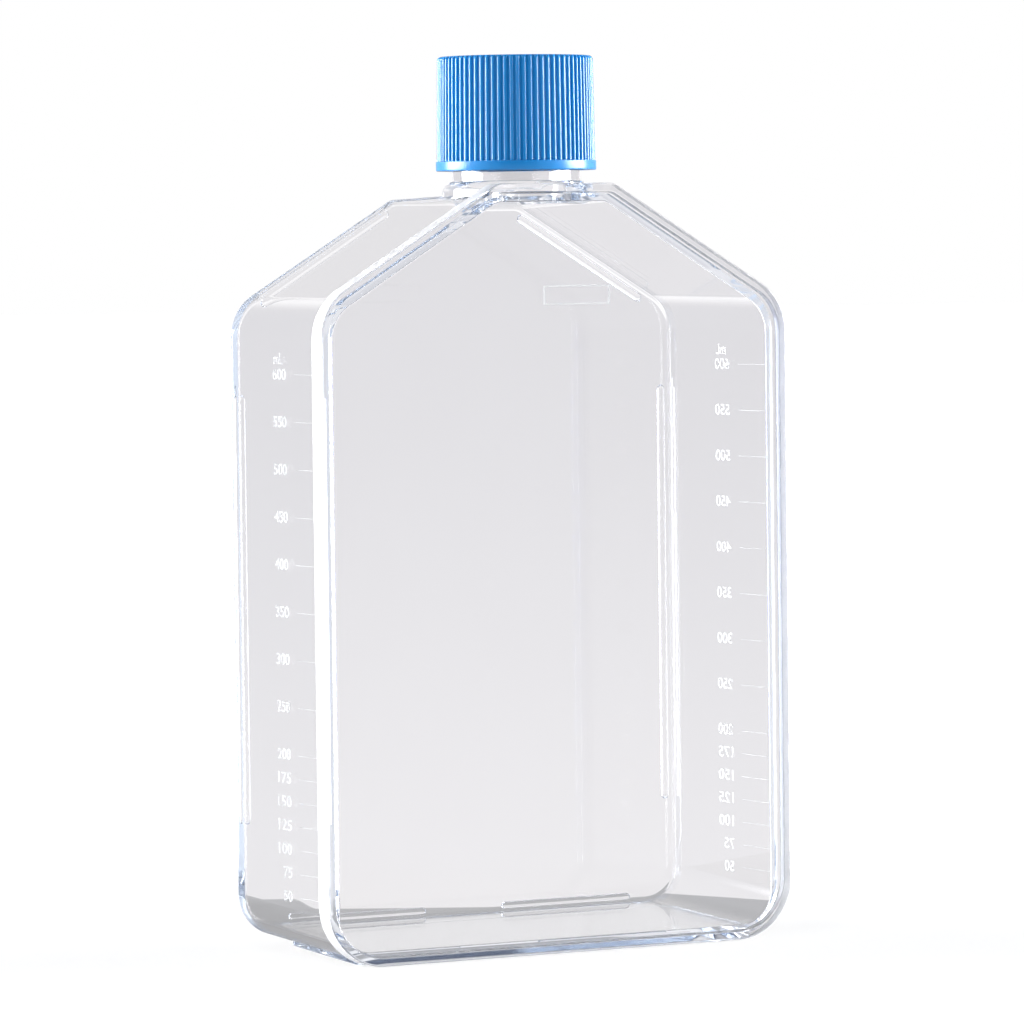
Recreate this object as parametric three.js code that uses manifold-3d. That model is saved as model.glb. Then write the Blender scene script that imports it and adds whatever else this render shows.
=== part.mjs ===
// Rectangular cell culture flask with a straight neck and a vented screw cap.
//
// Millimetres, +Z up. The flask stands on its base: x is its width, y its depth (the welded front
// plate faces -Y) and z its height. The origin is the middle of the footprint, at the base.
import * as THREE from 'three';
import { mergeVertices } from 'three/addons/utils/BufferGeometryUtils.js';
import Module from 'manifold-3d';

const wasm = await Module();
wasm.setup();

// ---- driving dimensions ------------------------------------------------------------------------

// Outline of the flange, seen from the front.
const FLANGE_WIDTH = 120;
const FLANGE_HEIGHT = 172.8;
const SHOULDER_HEIGHT = 146;
const TOP_WIDTH = 30;
const BASE_CORNER = 14;
const SHOULDER_CORNER = 13;
const TOP_CORNER = 4;

// Moulded body: a tray with drafted walls, open at the weld with the front plate.
const BODY_DEPTH = 48.3;
const WALL = 2;
const SIDE_INSET = 1.9;
const SIDE_DRAFT = 0.1;
const BASE_INSET = 1;
const BASE_DRAFT = 2.1;
const TOP_DRAFT = 1.2;
const BACK_EDGE = 1;
const INNER_EDGE = 1;
const TRAY_BASE_CORNER = 10;
const LIP = 1.6;

// Front plate: a panel with a raised rim all round.
const RIM_WIDTH = 2;
const RIM_HEIGHT = 1.4;
const RIM_EDGE = 0.4;
const PANEL = 1.7;

// Stacking beads on the back, which nest inside the rim of the next flask.
const BEAD_WIDTH = 2;
const BEAD_HEIGHT = 0.6;
const BEAD_INSET = 3.6;
const BASE_BEAD_INSET = 2.8;
const SIDE_BEAD_START = 29.5;
const SIDE_BEAD_BELOW_SHOULDER = 21.2;
const BASE_BEAD_GAP = 22;
const BASE_BEAD_END_INSET = 16.5;
const SHOULDER_BEAD_TOP_GAP = 2.3;
const SHOULDER_BEAD_SIDE_GAP = 6;

// Foot pad under the base.
const PAD_END_INSET = 9.5;
const PAD_LENGTH = 34;
const PAD_CORNER = 4;
const PAD_CROWN = 0.2;

// Neck.
const NECK_DIAMETER = 28.7;
const NECK_BEHIND_WELD = 0.95;
const NECK_WALL = 2;
const NECK_LENGTH = 27;
const NECK_RIM_EDGE = 0.5;
const ROOT_FLARE = 2.3;
const ROOT_HEIGHT = 2.6;

// Screw cap.
const CAP_LIFT = 3;
const CAP_TOP_WALL = 1.8;
const CAP_TOP_EDGE = 0.9;
const CAP_SKIRT_WALL = 1.45;
const CAP_FLARE = 0.3;
const THREAD_ROOM = 1.3;
const BAND_HEIGHT = 2.2;
const BAND_STEP = 0.2;
const RIB_COUNT = 78;
const RIB_DEPTH = 0.5;
const RIB_CREST_SHARE = 0.3;
const RIB_ROOT_SHARE = 0.4;

// Vent: slots in the cap, over a membrane on a ring that seals in the neck.
const RECESS_DEPTH = 0.5;
const VENT_COUNT = 8;
const VENT_WIDTH = 1.6;
const VENT_HUB = 2.4;
const RING_THICKNESS = 1.3;
const RING_SEAT_WIDTH = 1.4;
const PLUG_DEPTH = 3;
const PLUG_WALL = 1.2;
const PLUG_LEAD_IN = 0.5;
const MEMBRANE_THICKNESS = 0.3;
const MEMBRANE_SEAT_DEPTH = 0.5;

const CLEARANCE = 0.3;

// Fineness of the round forms.
const CORNER_SEGMENTS = 4;
const EDGE_STEPS = 3;
const ROUND_SEGMENTS = 64;
const CROWN_SEGMENTS = 8;
const OVERCUT = 5;
const SAME_POINT = 1e-4;

// ---- derived places ----------------------------------------------------------------------------

const SHOULDER_ANGLE = Math.atan2(FLANGE_HEIGHT - SHOULDER_HEIGHT, (FLANGE_WIDTH - TOP_WIDTH) / 2);
const FRONT_Y = -(BODY_DEPTH + BEAD_HEIGHT) / 2;
const BACK_Y = FRONT_Y + BODY_DEPTH;
const PANEL_Y = FRONT_Y + RIM_HEIGHT;
const WELD_Y = PANEL_Y + PANEL;
const LIP_BACK_Y = WELD_Y + LIP;
const BODY_TOP = FLANGE_HEIGHT - SIDE_INSET;
const BACK_INSET = SIDE_INSET + SIDE_DRAFT;
const NECK_RADIUS = NECK_DIAMETER / 2;
const BORE_RADIUS = NECK_RADIUS - NECK_WALL;
const NECK_Y = WELD_Y + NECK_BEHIND_WELD + NECK_RADIUS;
const NECK_TOP = BODY_TOP + NECK_LENGTH;
const RING_BOTTOM = NECK_TOP + CLEARANCE;
const RING_TOP = RING_BOTTOM + RING_THICKNESS;
const SEAT_Z = RING_TOP - MEMBRANE_SEAT_DEPTH;
const PLUG_RADIUS = BORE_RADIUS - CLEARANCE;
const MEMBRANE_RADIUS = PLUG_RADIUS - PLUG_WALL;
const RING_BORE_RADIUS = MEMBRANE_RADIUS - RING_SEAT_WIDTH;
const CAP_BOTTOM = FLANGE_HEIGHT + CAP_LIFT;
const BAND_TOP = CAP_BOTTOM + BAND_HEIGHT;
const CAP_CEILING = RING_TOP + CLEARANCE;
const CAP_TOP = CAP_CEILING + CAP_TOP_WALL;
const CAP_BORE_RADIUS = NECK_RADIUS + THREAD_ROOM;
const TOP_CREST_RADIUS = CAP_BORE_RADIUS + CAP_SKIRT_WALL + RIB_DEPTH;
const CREST_RADIUS = TOP_CREST_RADIUS + CAP_FLARE;
const BAND_RADIUS = CREST_RADIUS + BAND_STEP;

// ---- solids from three.js geometry -------------------------------------------------------------

function solid(geometry) {
  geometry.deleteAttribute('normal');
  geometry.deleteAttribute('uv');
  const merged = mergeVertices(geometry, SAME_POINT);
  const index = merged.getIndex().array;
  const faces = [];
  for (let i = 0; i < index.length; i += 3) {
    const face = [index[i], index[i + 1], index[i + 2]];
    if (new Set(face).size === 3) {
      faces.push(...face);
    }
  }
  return new wasm.Manifold(new wasm.Mesh({
    numProp: 3,
    vertProperties: new Float32Array(merged.getAttribute('position').array),
    triVerts: new Uint32Array(faces),
  }));
}

function namedMesh(name, shape, material) {
  const result = shape.getMesh();
  const geometry = new THREE.BufferGeometry();
  geometry.setAttribute('position', new THREE.BufferAttribute(result.vertProperties, 3));
  geometry.setIndex(new THREE.BufferAttribute(result.triVerts, 1));
  geometry.computeVertexNormals();
  const mesh = new THREE.Mesh(geometry, material);
  mesh.name = name;
  return mesh;
}

function moveVertices(geometry, move) {
  const position = geometry.getAttribute('position');
  const point = new THREE.Vector3();
  for (let i = 0; i < position.count; i += 1) {
    move(point.fromBufferAttribute(position, i));
    position.setXYZ(i, point.x, point.y, point.z);
  }
  return geometry;
}

// A shape in the x-z plane, extruded between two depths, with both its ends' edges rounded.
function extrudeAlongY(shape, front, back, round = 0) {
  const geometry = new THREE.ExtrudeGeometry(shape, {
    depth: back - front - 2 * round,
    curveSegments: CORNER_SEGMENTS,
    bevelEnabled: round > 0,
    bevelThickness: round,
    bevelSize: round,
    bevelOffset: -round,
    bevelSegments: EDGE_STEPS,
  });
  geometry.rotateX(Math.PI / 2);
  return geometry.translate(0, back - round, 0);
}

function extrudeAlongZ(shape, bottom, top) {
  const geometry = new THREE.ExtrudeGeometry(shape, {
    depth: top - bottom,
    curveSegments: CORNER_SEGMENTS,
    bevelEnabled: false,
  });
  return geometry.translate(0, 0, bottom);
}

// A closed [radius, z] profile turned round the neck's axis.
function revolve(profile) {
  const points = [...profile, profile[0]].map(([radius, z]) => new THREE.Vector2(radius, z));
  const geometry = new THREE.LatheGeometry(points, ROUND_SEGMENTS);
  geometry.rotateX(Math.PI / 2);
  return geometry.translate(0, NECK_Y, 0);
}

function revolvedRing(inner, outer, bottom, top) {
  return revolve([[inner, bottom], [outer, bottom], [outer, top], [inner, top]]);
}

function revolvedDisc(radius, bottom, top) {
  return revolvedRing(0, radius, bottom, top);
}

// Profile points of a quarter round, from beside its centre to above it.
function quarterRound([radius, z], reach, rise) {
  const points = [];
  for (let step = 0; step <= EDGE_STEPS; step += 1) {
    const angle = Math.PI / 2 * step / EDGE_STEPS;
    points.push([radius + reach * Math.cos(angle), z + rise * Math.sin(angle)]);
  }
  return points;
}

// ---- outlines ----------------------------------------------------------------------------------

// A convex polygon, counter-clockwise, with each corner rounded by its own radius.
function roundedShape(corners) {
  const shape = new THREE.Shape();
  corners.forEach(({ x, z, radius }, i) => {
    const corner = new THREE.Vector2(x, z);
    const previous = corners.at(i - 1);
    const next = corners[(i + 1) % corners.length];
    const back = new THREE.Vector2(previous.x, previous.z).sub(corner).normalize();
    const ahead = new THREE.Vector2(next.x, next.z).sub(corner).normalize();
    const halfAngle = Math.acos(back.dot(ahead)) / 2;
    const middle = back.clone().add(ahead).normalize();
    const centre = corner.clone().addScaledVector(middle, radius / Math.sin(halfAngle));
    const start = corner.clone().addScaledVector(back, radius / Math.tan(halfAngle)).sub(centre);
    const end = corner.clone().addScaledVector(ahead, radius / Math.tan(halfAngle)).sub(centre);
    shape.absarc(centre.x, centre.y, radius, start.angle(), end.angle(), false);
  });
  shape.closePath();
  return shape;
}

// The flask's six-sided outline, moved in from the flange's edge by an even distance.
function flaskOutline(inset, baseRadius = BASE_CORNER - inset) {
  const side = FLANGE_WIDTH / 2 - inset;
  const shoulder = SHOULDER_HEIGHT - inset * (1 / Math.cos(SHOULDER_ANGLE) - Math.tan(SHOULDER_ANGLE));
  const top = TOP_WIDTH / 2 - inset * Math.tan(SHOULDER_ANGLE / 2);
  const shoulderRadius = SHOULDER_CORNER - inset;
  return roundedShape([
    { x: -side, z: inset, radius: baseRadius },
    { x: side, z: inset, radius: baseRadius },
    { x: side, z: shoulder, radius: shoulderRadius },
    { x: top, z: FLANGE_HEIGHT - inset, radius: TOP_CORNER },
    { x: -top, z: FLANGE_HEIGHT - inset, radius: TOP_CORNER },
    { x: -side, z: shoulder, radius: shoulderRadius },
  ]);
}

// A straight bar with round ends, between two points.
function barShape(from, to, width) {
  const along = to.clone().sub(from).angle();
  const shape = new THREE.Shape();
  shape.absarc(to.x, to.y, width / 2, along - Math.PI / 2, along + Math.PI / 2, false);
  shape.absarc(from.x, from.y, width / 2, along + Math.PI / 2, along + 1.5 * Math.PI, false);
  shape.closePath();
  return shape;
}

// The cap's grip: a wheel of narrow ribs.
function ribbedShape() {
  const rootRadius = CREST_RADIUS - RIB_DEPTH;
  const flankShare = (1 - RIB_CREST_SHARE - RIB_ROOT_SHARE) / 2;
  const rootFrom = RIB_CREST_SHARE + flankShare;
  const points = [];
  const addPoint = (ribs, radius) => {
    const angle = 2 * Math.PI * ribs / RIB_COUNT;
    points.push(new THREE.Vector2(radius * Math.cos(angle), radius * Math.sin(angle)));
  };
  for (let rib = 0; rib < RIB_COUNT; rib += 1) {
    addPoint(rib, CREST_RADIUS);
    addPoint(rib + RIB_CREST_SHARE, CREST_RADIUS);
    addPoint(rib + rootFrom, rootRadius);
    addPoint(rib + rootFrom + RIB_ROOT_SHARE, rootRadius);
  }
  return new THREE.Shape(points);
}

// ---- flask body --------------------------------------------------------------------------------

// How far a depth lies from the lip (0) to the back (1).
function shareOfDepth(y) {
  return (y - LIP_BACK_Y) / (BACK_Y - LIP_BACK_Y);
}

function baseHeight(y) {
  return BASE_INSET + BASE_DRAFT * shareOfDepth(y);
}

// From the lip to the back the side walls close in, the base rises and the top comes down. The
// shoulders stay in their planes, so the top grows wider as it comes down.
function draft(geometry) {
  const side = FLANGE_WIDTH / 2 - SIDE_INSET;
  const middleOfSlope = (SHOULDER_HEIGHT + FLANGE_HEIGHT) / 2;
  return moveVertices(geometry, (point) => {
    const share = shareOfDepth(point.y);
    point.x *= 1 - share * SIDE_DRAFT / side;
    if (point.z > middleOfSlope) {
      const drop = share * TOP_DRAFT;
      point.x += Math.sign(point.x) * drop / Math.tan(SHOULDER_ANGLE);
      point.z -= drop;
    } else {
      point.z += (baseHeight(point.y) - SIDE_INSET) * (BODY_TOP - point.z) / BODY_TOP;
    }
  });
}

function trayOutside() {
  const outline = flaskOutline(SIDE_INSET, TRAY_BASE_CORNER);
  return solid(draft(extrudeAlongY(outline, WELD_Y - OVERCUT, BACK_Y, BACK_EDGE)));
}

function trayInside() {
  const outline = flaskOutline(SIDE_INSET + WALL, TRAY_BASE_CORNER - WALL);
  return solid(draft(extrudeAlongY(outline, WELD_Y - 2 * OVERCUT, BACK_Y - WALL, INNER_EDGE)));
}

function lip() {
  return solid(extrudeAlongY(flaskOutline(0), WELD_Y, LIP_BACK_Y));
}

// The pad's lower face rises with the base, from the level of the lip's lower edge. It is crowned
// across, so the flask stands on its front edge and on the middle of the pad, and doesn't rock.
function footPad() {
  const front = WELD_Y;
  const back = LIP_BACK_Y + PAD_LENGTH;
  const end = FLANGE_WIDTH / 2 - PAD_END_INSET;
  const thickness = BASE_INSET + WALL / 2;
  const slab = new THREE.BoxGeometry(2 * end, back - front, thickness, CROWN_SEGMENTS, 1, 1);
  slab.translate(0, (front + back) / 2, thickness / 2 - BASE_INSET);
  moveVertices(slab, (point) => {
    point.z = Math.max(point.z + baseHeight(point.y), 0) + PAD_CROWN * (point.x / end) ** 2;
  });
  const plan = roundedShape([
    { x: -end, z: front, radius: PAD_CORNER },
    { x: end, z: front, radius: PAD_CORNER },
    { x: end, z: back, radius: PAD_CORNER },
    { x: -end, z: back, radius: PAD_CORNER },
  ]);
  return solid(slab).intersect(solid(extrudeAlongZ(plan, -OVERCUT, OVERCUT)));
}

function bead(from, to) {
  return solid(extrudeAlongY(barShape(from, to, BEAD_WIDTH), BACK_Y - WALL / 2, BACK_Y + BEAD_HEIGHT));
}

function mirrored(point) {
  return new THREE.Vector2(-point.x, point.y);
}

// One long bead by each wall, and one along each half of the base and each shoulder.
function beads() {
  const inset = BACK_INSET + BEAD_INSET;
  const side = FLANGE_WIDTH / 2 - inset;
  const base = BASE_INSET + BASE_DRAFT + BASE_BEAD_INSET;
  const sideEnd = SHOULDER_HEIGHT - SIDE_BEAD_BELOW_SHOULDER;
  const baseEnd = FLANGE_WIDTH / 2 - BASE_BEAD_END_INSET;
  const topOfSlope = FLANGE_HEIGHT - inset / Math.cos(SHOULDER_ANGLE);
  const onSlope = (x) => new THREE.Vector2(x, topOfSlope - (x - TOP_WIDTH / 2) * Math.tan(SHOULDER_ANGLE));
  const runs = [
    [new THREE.Vector2(side, SIDE_BEAD_START), new THREE.Vector2(side, sideEnd)],
    [new THREE.Vector2(BASE_BEAD_GAP / 2, base), new THREE.Vector2(baseEnd, base)],
    [onSlope(TOP_WIDTH / 2 + SHOULDER_BEAD_TOP_GAP), onSlope(side - SHOULDER_BEAD_SIDE_GAP)],
  ];
  return runs.flatMap(([from, to]) => [bead(from, to), bead(mirrored(from), mirrored(to))]);
}

// The neck's foot reaches down into the tray, whose inside is cut out afterwards.
function neckOutside() {
  const rimCentre = [NECK_RADIUS - NECK_RIM_EDGE, NECK_TOP - NECK_RIM_EDGE];
  return solid(revolve([
    [0, SHOULDER_HEIGHT],
    [NECK_RADIUS + ROOT_FLARE, SHOULDER_HEIGHT],
    ...quarterRound([NECK_RADIUS, BODY_TOP], ROOT_FLARE, ROOT_HEIGHT),
    ...quarterRound(rimCentre, NECK_RIM_EDGE, NECK_RIM_EDGE),
    [0, NECK_TOP],
  ]));
}

function neckBore() {
  return solid(revolvedDisc(BORE_RADIUS, BODY_TOP - OVERCUT, NECK_TOP + OVERCUT));
}

function frontOfWeld() {
  const far = FLANGE_HEIGHT + NECK_LENGTH;
  const box = new THREE.BoxGeometry(2 * FLANGE_WIDTH, BODY_DEPTH, 2 * far);
  return solid(box.translate(0, WELD_Y - BODY_DEPTH / 2, far / 2));
}

function flaskBody() {
  let body = trayOutside().add(lip()).add(footPad()).add(neckOutside());
  for (const each of beads()) {
    body = body.add(each);
  }
  return body.subtract(frontOfWeld()).subtract(trayInside()).subtract(neckBore());
}

// ---- front plate -------------------------------------------------------------------------------

function frontPlate() {
  const plate = solid(extrudeAlongY(flaskOutline(0), FRONT_Y, WELD_Y, RIM_EDGE));
  const recess = solid(extrudeAlongY(flaskOutline(RIM_WIDTH), FRONT_Y - OVERCUT, PANEL_Y));
  return plate.subtract(recess);
}

// ---- cap ---------------------------------------------------------------------------------------

// The ribbed grip narrows towards the top, and its top edge is rounded.
function capGrip() {
  const stepHeight = CAP_TOP_EDGE / EDGE_STEPS;
  const edgeBottom = CAP_TOP - CAP_TOP_EDGE;
  const geometry = new THREE.ExtrudeGeometry(ribbedShape(), {
    depth: CAP_TOP_EDGE + stepHeight,
    steps: EDGE_STEPS + 1,
    bevelEnabled: false,
  });
  geometry.translate(0, 0, edgeBottom - stepHeight);
  moveVertices(geometry, (point) => {
    const turn = Math.PI / 2 * Math.max(point.z - edgeBottom, 0) / CAP_TOP_EDGE;
    const isFoot = point.z < edgeBottom - stepHeight / 2;
    const z = isFoot ? BAND_TOP : edgeBottom + CAP_TOP_EDGE * Math.sin(turn);
    const taper = CAP_FLARE * (z - BAND_TOP) / (CAP_TOP - BAND_TOP);
    const scale = 1 - (taper + CAP_TOP_EDGE * (1 - Math.cos(turn))) / CREST_RADIUS;
    point.set(point.x * scale, point.y * scale, z);
  });
  return solid(geometry.translate(0, NECK_Y, 0));
}

function capBand() {
  return solid(revolve([
    [0, CAP_BOTTOM],
    [CREST_RADIUS, CAP_BOTTOM],
    [BAND_RADIUS, CAP_BOTTOM + BAND_STEP],
    [BAND_RADIUS, BAND_TOP - BAND_STEP],
    [CREST_RADIUS, BAND_TOP],
    [0, BAND_TOP],
  ]));
}

function capInside() {
  return solid(revolvedDisc(CAP_BORE_RADIUS, CAP_BOTTOM - OVERCUT, CAP_CEILING));
}

// A shallow recess in the top, and slots from it down to the membrane.
function ventCuts() {
  const cuts = [solid(revolvedDisc(MEMBRANE_RADIUS, CAP_TOP - RECESS_DEPTH, CAP_TOP + OVERCUT))];
  const inner = new THREE.Vector2(VENT_HUB + VENT_WIDTH / 2, 0);
  const outer = new THREE.Vector2(RING_BORE_RADIUS - VENT_WIDTH / 2, 0);
  for (let i = 0; i < VENT_COUNT; i += 1) {
    const slot = extrudeAlongZ(barShape(inner, outer, VENT_WIDTH), CAP_CEILING - OVERCUT, CAP_TOP + OVERCUT);
    slot.rotateZ(2 * Math.PI * i / VENT_COUNT);
    cuts.push(solid(slot.translate(0, NECK_Y, 0)));
  }
  return cuts;
}

function capShell() {
  let shell = capGrip().add(capBand()).subtract(capInside());
  for (const cut of ventCuts()) {
    shell = shell.subtract(cut);
  }
  return shell;
}

// ---- vent insert -------------------------------------------------------------------------------

// Its plug fits in the neck's bore, and its flange lies between the neck's rim and the cap.
function sealRing() {
  const plugBottom = RING_BOTTOM - PLUG_DEPTH;
  const pocketRadius = MEMBRANE_RADIUS + CLEARANCE;
  const flangeRadius = CAP_BORE_RADIUS - CLEARANCE;
  return solid(revolve([
    [RING_BORE_RADIUS, RING_BOTTOM],
    [MEMBRANE_RADIUS, RING_BOTTOM],
    [MEMBRANE_RADIUS, plugBottom],
    [PLUG_RADIUS - PLUG_LEAD_IN, plugBottom],
    [PLUG_RADIUS, plugBottom + PLUG_LEAD_IN],
    [PLUG_RADIUS, RING_BOTTOM],
    [flangeRadius, RING_BOTTOM],
    [flangeRadius, RING_TOP],
    [pocketRadius, RING_TOP],
    [pocketRadius, SEAT_Z],
    [RING_BORE_RADIUS, SEAT_Z],
  ]));
}

function ventMembrane() {
  return solid(revolvedDisc(MEMBRANE_RADIUS, SEAT_Z, SEAT_Z + MEMBRANE_THICKNESS));
}

// ---- the flask ---------------------------------------------------------------------------------

const clearPlastic = new THREE.MeshStandardMaterial({
  color: 0xf2f5f7,
  roughness: 0.05,
  metalness: 0,
  transparent: true,
  opacity: 0.3,
});
const bluePlastic = new THREE.MeshStandardMaterial({ color: 0x2f86cf, roughness: 0.35, metalness: 0 });
const whitePlastic = new THREE.MeshStandardMaterial({ color: 0xe9ecee, roughness: 0.5, metalness: 0 });
const membranePaper = new THREE.MeshStandardMaterial({ color: 0xf7f7f4, roughness: 0.9, metalness: 0 });

const flask = new THREE.Group();
flask.add(namedMesh('flask_body', flaskBody(), clearPlastic));
flask.add(namedMesh('front_plate', frontPlate(), clearPlastic));
flask.add(namedMesh('cap_shell', capShell(), bluePlastic));
flask.add(namedMesh('seal_ring', sealRing(), whitePlastic));
flask.add(namedMesh('vent_membrane', ventMembrane(), membranePaper));

export default flask;
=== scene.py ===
"""Looks of the cell culture flask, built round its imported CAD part.

The clear flask is one finely rounded mesh that stands for the moulded body and the welded plate.
The cap, its ring and the membrane are finer meshes of the same sizes, with the screw thread.
Sizes of the flask are in millimetres, and MM turns them into metres. Materials, the floor, the
lights and the camera are in metres.
"""
import math
import bpy
import bmesh
from mathutils import Matrix, Vector


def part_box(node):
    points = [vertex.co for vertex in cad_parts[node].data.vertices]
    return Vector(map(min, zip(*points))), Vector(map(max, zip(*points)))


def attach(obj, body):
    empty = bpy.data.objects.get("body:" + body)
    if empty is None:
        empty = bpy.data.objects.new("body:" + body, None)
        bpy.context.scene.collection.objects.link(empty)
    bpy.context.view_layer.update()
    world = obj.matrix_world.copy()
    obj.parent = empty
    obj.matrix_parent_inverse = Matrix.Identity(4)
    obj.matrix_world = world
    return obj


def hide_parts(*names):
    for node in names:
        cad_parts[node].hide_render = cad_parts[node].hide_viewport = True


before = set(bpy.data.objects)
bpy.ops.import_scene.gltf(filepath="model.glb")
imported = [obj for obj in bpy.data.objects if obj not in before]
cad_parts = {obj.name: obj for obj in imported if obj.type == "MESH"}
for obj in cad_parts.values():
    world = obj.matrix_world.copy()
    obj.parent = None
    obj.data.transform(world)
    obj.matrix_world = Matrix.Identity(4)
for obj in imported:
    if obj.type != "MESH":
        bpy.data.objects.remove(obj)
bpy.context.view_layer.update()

MM = 0.001

# ---- sizes read from the frame -------------------------------------------------------------------


def box_mm(node):
    """The lowest and highest corner of a solid, in millimetres."""
    low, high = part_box(node)
    return low / MM, high / MM


BODY_HIGH = box_mm("flask_body")[1]
PLATE_LOW, PLATE_HIGH = box_mm("front_plate")
CAP_LOW, CAP_HIGH = box_mm("cap_shell")
RING_LOW, RING_HIGH = box_mm("seal_ring")
DISC_LOW, DISC_HIGH = box_mm("vent_membrane")

FRONT_Y = PLATE_LOW.y
WELD_Y = PLATE_HIGH.y
BEAD_Y = BODY_HIGH.y
NECK_Y = (RING_LOW.y + RING_HIGH.y) / 2
NECK_TOP = BODY_HIGH.z
HALF_WIDTH = PLATE_HIGH.x
FLANGE_TOP = PLATE_HIGH.z
BAND_RADIUS = CAP_HIGH.x
RING_RADIUS = RING_HIGH.x
DISC_RADIUS = DISC_HIGH.x

# ---- sizes of the moulding -----------------------------------------------------------------------

# The front outline, which the tray follows with a smaller base corner.
SHOULDER_Z = 146
TOP_HALF = 15
BASE_CORNER = 14
TRAY_BASE_CORNER = 10
SHOULDER_CORNER = 13
TOP_CORNER = 4
CORNER_STEPS = 14

# The plate's raised rim, and the edges from it back to the lip.
RIM_WIDTH = 2
RIM_HEIGHT = 1.4
RIM_DRAFT = 0.1
RIM_FILLET = 0.25
RIM_INNER_EDGE = 0.2
RIM_OUTER_EDGE = 0.45
LIP = 1.6
LIP_EDGE = 0.15

# The tray. A draft is how far a side moves inward from the lip to the back.
WALL = 2
SIDE_INSET = 1.9
SIDE_DRAFT = 0.1
BASE_INSET = 1
BASE_DRAFT = 2.1
TOP_DRAFT = 1.2
BACK_EDGE = 1
INNER_EDGE = 1
MOUTH_EDGE = 0.3

# Stacking beads on the back: along each side, beside the middle of the base, and on each slope.
BEAD_HEIGHT = 0.6
BEAD_ROOT = 1
BEAD_DOME = 0.55
BEAD_WIDTH = 2
BEAD_INSET = 3.6
BASE_BEAD_INSET = 2.8
SIDE_BEAD_LOW = 29.5
SIDE_BEAD_TO_SHOULDER = 21.2
BASE_BEAD_START = 11
BASE_BEAD_END_INSET = 16.5
SLOPE_BEAD_START = 2.3
SLOPE_BEAD_END_INSET = 6

# The neck. Its bore's upper edge is given as (flare, height over the rim) pairs, and its thread
# starts above the cap's lower edge.
NECK_RADIUS = 14.35
NECK_WALL = 2
NECK_EDGE = 0.5
ROOT_FLARE = 2.3
ROOT_HEIGHT = 2.6
BORE_REACH = 6
BORE_EDGE = [(0, -0.4), (0.2, -0.1), (0.5, 2)]
LEAD = 8
THREAD_STARTS = 2
THREAD_FROM = CAP_LOW.z + 4.5
THREAD_TO = NECK_TOP - 2
THREAD_HEIGHT = 0.9
THREAD_HALF_WIDTH = 1.0
THREAD_FLANK = 0.6
THREAD_FADE = 1.5
THREAD_STEP = 0.25

# The foot pad, with its lower edge as (inset, rise) pairs.
PAD_HALF = 50.5
PAD_LENGTH = 34
PAD_FRONT_GAP = 0.2
PAD_FRONT_CORNER = 2
PAD_BACK_CORNER = 4
PAD_EDGE = [(0.25, 0), (0.06, 0.08), (0, 0.25)]
PAD_CROWN = 0.2
PAD_LOWEST = 0.02

PANEL_Y = FRONT_Y + RIM_HEIGHT
LIP_BACK_Y = WELD_Y + LIP
BACK_Y = BEAD_Y - BEAD_HEIGHT
BODY_TOP = FLANGE_TOP - SIDE_INSET
SLOPE = math.atan2(FLANGE_TOP - SHOULDER_Z, HALF_WIDTH - TOP_HALF)

# A turned profile ends this near to its axis, and a cutter reaches this far past what it cuts. The
# segments are those of a full turn.
NEAR_AXIS = 0.01
OVERCUT = 2
NECK_SEGMENTS = 160
RING_SEGMENTS = 128
DISC_SEGMENTS = 96

# ---- mesh helpers --------------------------------------------------------------------------------


def mesh_object(name, points, faces):
    mesh = bpy.data.meshes.new(name)
    mesh.from_pydata([Vector(p) * MM for p in points], [], faces)
    work = bmesh.new()
    work.from_mesh(mesh)
    bmesh.ops.remove_doubles(work, verts=work.verts, dist=1e-7)
    bmesh.ops.recalc_face_normals(work, faces=work.faces)
    work.to_mesh(mesh)
    work.free()
    piece = bpy.data.objects.new(name, mesh)
    bpy.context.scene.collection.objects.link(piece)
    return piece


def skin(name, loops, closed=False):
    """A solid through loops of equal length: its ends are capped, or joined when it is closed."""
    count = len(loops[0])
    points = [p for loop in loops for p in loop]
    faces = []
    pairs = [(i, i + 1) for i in range(len(loops) - 1)]
    if closed:
        pairs.append((len(loops) - 1, 0))
    for a, b in pairs:
        for i in range(count):
            j = (i + 1) % count
            faces.append((a * count + i, a * count + j, b * count + j, b * count + i))
    if not closed:
        faces.append(tuple(range(count - 1, -1, -1)))
        faces.append(tuple(range((len(loops) - 1) * count, len(loops) * count)))
    return mesh_object(name, points, faces)


def lathe(name, profile, segments, closed=False, ridge=None):
    """A profile of (radius, z) turned round the neck's axis; ridge(angle, z) adds to the radius."""
    loops = []
    for radius, z in profile:
        loop = []
        for i in range(segments):
            angle = 2 * math.pi * i / segments
            r = radius + (ridge(angle, z) if ridge else 0)
            loop.append((r * math.cos(angle), NECK_Y + r * math.sin(angle), z))
        loops.append(loop)
    return skin(name, loops, closed)


def arc(cx, cy, radius_x, radius_y, start, end, steps):
    """Points of an elliptic arc, in degrees."""
    points = []
    for i in range(steps + 1):
        angle = math.radians(start + (end - start) * i / steps)
        points.append((cx + radius_x * math.cos(angle), cy + radius_y * math.sin(angle)))
    return points


def combine(target, tool, operation):
    """The target joined with the tool or cut by it; the tool is used up."""
    modifier = target.modifiers.new("combine", "BOOLEAN")
    modifier.object = tool
    modifier.operation = operation
    modifier.solver = "EXACT"
    graph = bpy.context.evaluated_depsgraph_get()
    mesh = bpy.data.meshes.new_from_object(target.evaluated_get(graph))
    target.modifiers.clear()
    old = target.data
    target.data = mesh
    bpy.data.meshes.remove(old)
    bpy.data.objects.remove(tool)
    return target


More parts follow.
